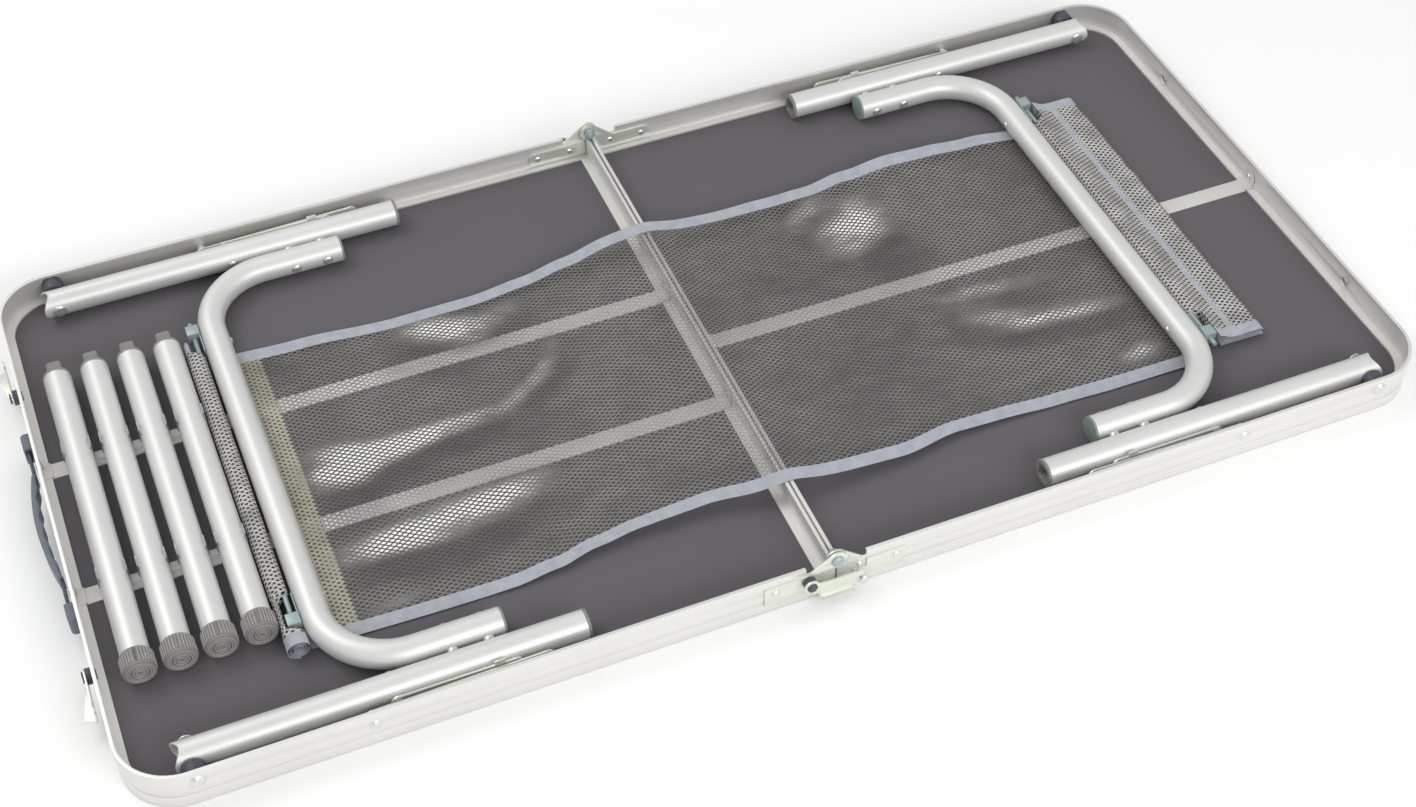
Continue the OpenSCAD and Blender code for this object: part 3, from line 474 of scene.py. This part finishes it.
# At x, how far the edge strays in y and how far it lifts, in millimetres.
FAR_HEM = [
    (-430, 0, 0), (-346, -5, 0), (-251, -13, 0), (-182, -15, 1), (-129, -12, 2), (-83, -4, 1),
    (-37, 3, 0), (0, -1, 0), (66, 0, 0), (129, 0, 3), (173, 1, 5), (222, 7, 9), (270, 10, 13),
    (315, 9, 12), (359, 8, 8), (430, 7, 0)]
NEAR_HEM = [
    (-430, 0, 0), (-287, -3, 0), (-252, -4, 1), (-214, -1, 2), (-174, 6, 3), (-135, 10, 3),
    (-76, 11, 1), (0, -1, 0), (72, -1, 0), (110, -1, 0), (173, 8, 1), (213, 8, 1), (272, 6, 0),
    (333, 4, 0), (430, 3, 0)]


def hem_at(hem, x):
    """How far an edge strays and lifts at x, eased between the places given."""
    for (x0, *low), (x1, *high) in zip(hem, hem[1:]):
        if x <= x1 * MM:
            t = max(0.0, (x / MM - x0) / (x1 - x0))
            t = t * t * (3 - 2 * t)
            return [(a + (b - a) * t) * MM for a, b in zip(low, high)]
    return [value * MM for value in hem[-1][1:]]


def painted_patch_shares(x, y):
    """For each patch of painted highlight, how bright it is at x, y, and how dark the painted shade on the
    shaded side of its fold.
    """
    for middle_x, middle_y, length, width, turn, strength in PAINTED_GLARES:
        c, s = math.cos(math.radians(turn)), math.sin(math.radians(turn))
        dx, dy = x / MM - middle_x, y / MM - middle_y
        along, across = (dx * c + dy * s) / length, (dy * c - dx * s) / width
        yield (strength * math.exp(-(abs(along) ** 2.6 + abs(across) ** 2.2) * 0.9),
               strength * math.exp(-(along ** 4 + (across + 1.9) ** 4)))


def add_painted_glare(piece):
    """Painted highlight where the net's cells shine, and painted shade where its folds lie in shade, as the
    sheet's own attributes.
    """
    painted_shine = piece.data.attributes.new("painted_glare", "FLOAT", "POINT")
    shade = piece.data.attributes.new("shade", "FLOAT", "POINT")
    for vertex in piece.data.vertices:
        x, y = vertex.co.x, vertex.co.y
        bright, dark = (sum(values) for values in zip(*painted_patch_shares(x, y)))
        streak = noise.noise(Vector((x * 16, y * 60, 0.3)))
        fine = noise.noise(Vector((x * 70, y * 150, 2.9)))
        # Painted highlight: how brightly the cells glare here.
        value = max(0.0, min(1.0, (bright - 0.1) * (1.05 + 0.6 * streak + 0.35 * fine)))
        painted_shine.data[vertex.index].value = value
        broad = noise.noise(Vector((x * 9, y * 14, 5.5)))
        ripple = noise.noise(Vector((x * 30, y * 80, 8.1)))
        # Random tone, darkened by the painted shade beside each bright patch.
        lit = 1.0 + 0.35 * broad + 0.25 * ripple
        shade.data[vertex.index].value = max(0.35, lit * (1 - 0.5 * min(1.0, dark)))


def mark_faces(piece, y_low, y_high, band=None):
    """Gives the hems the tape, and a band along the sheet the third finish. The map named cloth tells where
    a face lies on the flat sheet."""
    cloth = piece.data.uv_layers["cloth"].data
    for polygon in piece.data.polygons:
        corners = [cloth[i].uv for i in polygon.loop_indices]
        along, across = (sum(corner[i] for corner in corners) / len(corners) for i in (0, 1))
        if across < y_low + HEM or across > y_high - HEM:
            polygon.material_index = 1
        elif band and band[0] < along < band[1]:
            polygon.material_index = 2


def add_even_shade(piece):
    """Light and dark of wound or folded net, a little uneven from place to place."""
    shade = piece.data.attributes.new("shade", "FLOAT", "POINT")
    for vertex in piece.data.vertices:
        shade.data[vertex.index].value = 1.0 + 0.3 * noise.noise(vertex.co * 60)


def add_net_sheets():
    """The net over both halves: it lies on the board and rises over the centre bars."""
    low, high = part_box("net_left")
    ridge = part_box("centre_bar_left")[1].z + 0.9 * MM
    flat = low.z + 0.3 * MM
    # Half the net's line from the fold outwards: x in millimetres, height in metres.
    half = [Vector((x * MM, z)) for x, z in
            ((0, ridge), (8, ridge - 0.7 * MM), (40, 0.0274), (90, 0.0219), (150, 0.0180), (230, 0.0152),
             (300, flat), (360, flat), (428.5, flat))]
    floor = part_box("cross_strips")[0].z + 1.5 * MM

    def drape(point, column):
        free = max(0.0, min(1.0, (abs(point.x) - 0.02) / 0.05, (0.385 - abs(point.x)) / 0.05))
        share = (point.y - low.y) / (high.y - low.y)
        far, near = hem_at(FAR_HEM, point.x), hem_at(NEAR_HEM, point.x)
        y = point.y + far[0] * share + near[0] * (1 - share)
        wave = noise.noise(Vector((point.x * 7, point.y * 17, 1.7)))
        ripple = noise.noise(Vector((point.x * 21, point.y * 40, 4.1)))
        lift = free * (2.2 * MM * wave + 0.6 * MM * ripple)
        lift += far[1] * max(0.0, share * 3.2 - 2.2) ** 1.5 + near[1] * max(0.0, 1 - share * 3.2) ** 1.5
        return Vector((point.x, y, max(floor, point.z + lift)))

    right_line = smooth_line(half, 3.2 * MM)
    middle_reach, sleeve_length, rows = 0.045, 45 * MM, 104
    cut = next(i for i, p in enumerate(right_line) if p.x > middle_reach)
    offset = lengths_along(right_line[:cut + 1])[-1]
    finish = [NET, TAPE, SLEEVE]
    pieces = []
    for side, label in ((-1, "left"), (1, "right")):
        line = [Vector((side * p.x, p.y)) for p in right_line[cut:]]
        piece, run = cloth_strip("net_sheet_" + label, line, low.y, high.y, rows, offset, drape, finish)
        sleeve = (offset + run - sleeve_length, 1) if side < 0 else None
        pieces.append((piece, run, f"leg_{label}", f"half_{label}", sleeve, side))
    middle_line = [Vector((-p.x, p.y)) for p in reversed(right_line[1:cut + 1])] + right_line[:cut + 1]
    middle, run = cloth_strip("net_sheet_middle", middle_line, low.y, high.y, rows, -offset, drape, finish)
    mark_faces(middle, low.y, high.y)
    add_painted_glare(middle)
    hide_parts("net_left", "net_right")
    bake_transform(middle)
    for piece, run, leg, half_body, sleeve, side in pieces:
        mark_faces(piece, low.y, high.y, sleeve)
        add_painted_glare(piece)
        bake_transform(piece)


def add_net_roll():
    """The part of the net that is wound round the left rod, squeezed where it passes the brackets."""
    bar_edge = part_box("cross_bar_left")[0].x
    tube_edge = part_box("extension_tube_1")[1].x
    middle_x = (bar_edge + tube_edge) / 2 + 0.1 * MM
    middle_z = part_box("net_roll")[0].z + 11.2 * MM
    turns, count = 2.7, 84
    line = []
    for i in range(count + 1):
        t = i / count
        angle = -math.pi / 2 - 2 * math.pi * turns * (1 - t)
        reach = 0.36 + 0.64 * t
        line.append(Vector((reach * math.cos(angle), reach * math.sin(angle))))
    y_low, y_high = -0.207, 0.166
    bracket, bracket_end, bracket_x = 0.1485, 0.1875, -0.4456

    def shape(point, column):
        y = point.y
        past = max(0.0, min(1.0, (abs(y) - bracket) / (5 * MM)))
        beyond = max(0.0, min(1.0, (-y - bracket_end) / (3 * MM)))
        squeeze = past * (1 - beyond)
        ripple = 1 + 0.05 * noise.noise(Vector((point.x * 3, y * 60, point.z * 3)))
        wide = (9.4 * (1 - squeeze) + 2.9 * squeeze + 1.6 * beyond) * MM * ripple
        tall = (11.0 - 1.5 * squeeze) * MM * ripple
        centre_x = middle_x + squeeze * (bracket_x - middle_x) + beyond * 1.6 * MM
        return Vector((centre_x + point.x * wide, y, middle_z + point.z * tall))

    mean_radius = 10 * MM
    piece, run = cloth_strip("net_roll_cloth", line, y_low, y_high, 120, 0.0, shape, [ROLLED, TAPE])
    add_even_shade(piece)
    cloth = piece.data.uv_layers["cloth"].data
    for corner in cloth:
        corner.uv = (corner.uv[0] * mean_radius, corner.uv[1])
    mark_faces(piece, y_low, y_high)
    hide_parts("net_roll")
    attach(piece, "leg_left")


def add_net_fold():
    """The slack past the right rod: round the rod, then folded flat on itself with its end hem on top."""
    outline = ((428.5, 13.7), (431.4, 15), (432.2, 22), (433, 29), (437, 32), (443, 31.4),
               (450, 28.4), (457, 24.6), (466, 22.9), (480, 23.4), (491, 22.6), (494.6, 20.6),
               (491, 18.9), (470, 18.6), (452, 18.9), (447.5, 17.4), (452, 16.2), (475, 15.6),
               (495, 15.2))
    line = smooth_line([Vector((x * MM, z * MM)) for x, z in outline], 3 * MM)
    y_low, y_high = -0.189, 0.179
    bracket, clear, fold_floor = 0.1495, 0.4438, 0.0165

    def shape(point, column):
        past = max(0.0, min(1.0, (abs(point.y) - bracket) / (4 * MM)))
        x = point.x
        if x < clear:
            x += past * (clear - x + 0.5 * MM)
        ripple = noise.noise(Vector((point.x * 40, point.y * 26, 2.2)))
        edge = noise.noise(Vector((column * 0.05, point.y * 55, 7.0)))
        z = point.z + (0.5 * MM * ripple if point.z > fold_floor else 0.0)
        return Vector((x + 1.2 * MM * edge * min(1.0, max(0.0, (x - 0.45) / 0.02)), point.y, z))

    piece, run = cloth_strip("net_fold_cloth", line, y_low, y_high, 120, 0.0, shape,
                             [ROLLED, TAPE, TAPE])
    end_hem = [length for length, point in zip(lengths_along(line), line)
               if 0.460 < point.x < 0.471 and point.y > 0.0215]
    mark_faces(piece, y_low, y_high, (min(end_hem), max(end_hem)))
    add_even_shade(piece)
    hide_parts("net_fold")
    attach(piece, "leg_right")


# ---- handle straps ----
def add_handle_straps():
    """Flat straps from the caps to the grip."""
    low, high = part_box("handle_straps")
    grip_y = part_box("handle_grip")[1].y
    for side, label in ((1, "far"), (-1, "near")):
        bpy.ops.object.select_all(action="DESELECT")
        bpy.ops.mesh.primitive_cube_add(
            size=1, location=((low.x + high.x) / 2, side * (grip_y + high.y) / 2, (low.z + high.z) / 2))
        strap = bpy.context.object
        strap.name = "handle_strap_" + label
        strap.scale = (high.x - low.x, high.y - grip_y, high.z - low.z)
        bpy.ops.object.transform_apply(location=True, rotation=False, scale=True)
        bpy.ops.object.mode_set(mode="EDIT")
        spans = 8
        for i in range(1, spans):
            y = side * (grip_y + (high.y - grip_y) * i / spans)
            bpy.ops.mesh.select_all(action="SELECT")
            bpy.ops.mesh.bisect(plane_co=(0, y, 0), plane_no=(0, 1, 0))
        bpy.ops.object.mode_set(mode="OBJECT")
        apply_modifier(strap, "BEVEL", width=0.7 * MM, segments=2, limit_method="ANGLE")
        bpy.ops.object.shade_smooth_by_angle(angle=math.radians(40))
        strap.data.materials.append(FINISHES["dark_plastic"])
        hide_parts("handle_straps")
        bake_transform(strap)


add_camera()
add_studio()
add_floor()
finish_packed_parts()
ease_parts()
for number in range(1, 5):
    cut_foot_details(number)
add_net_sheets()
add_net_roll()
add_net_fold()
add_handle_straps()
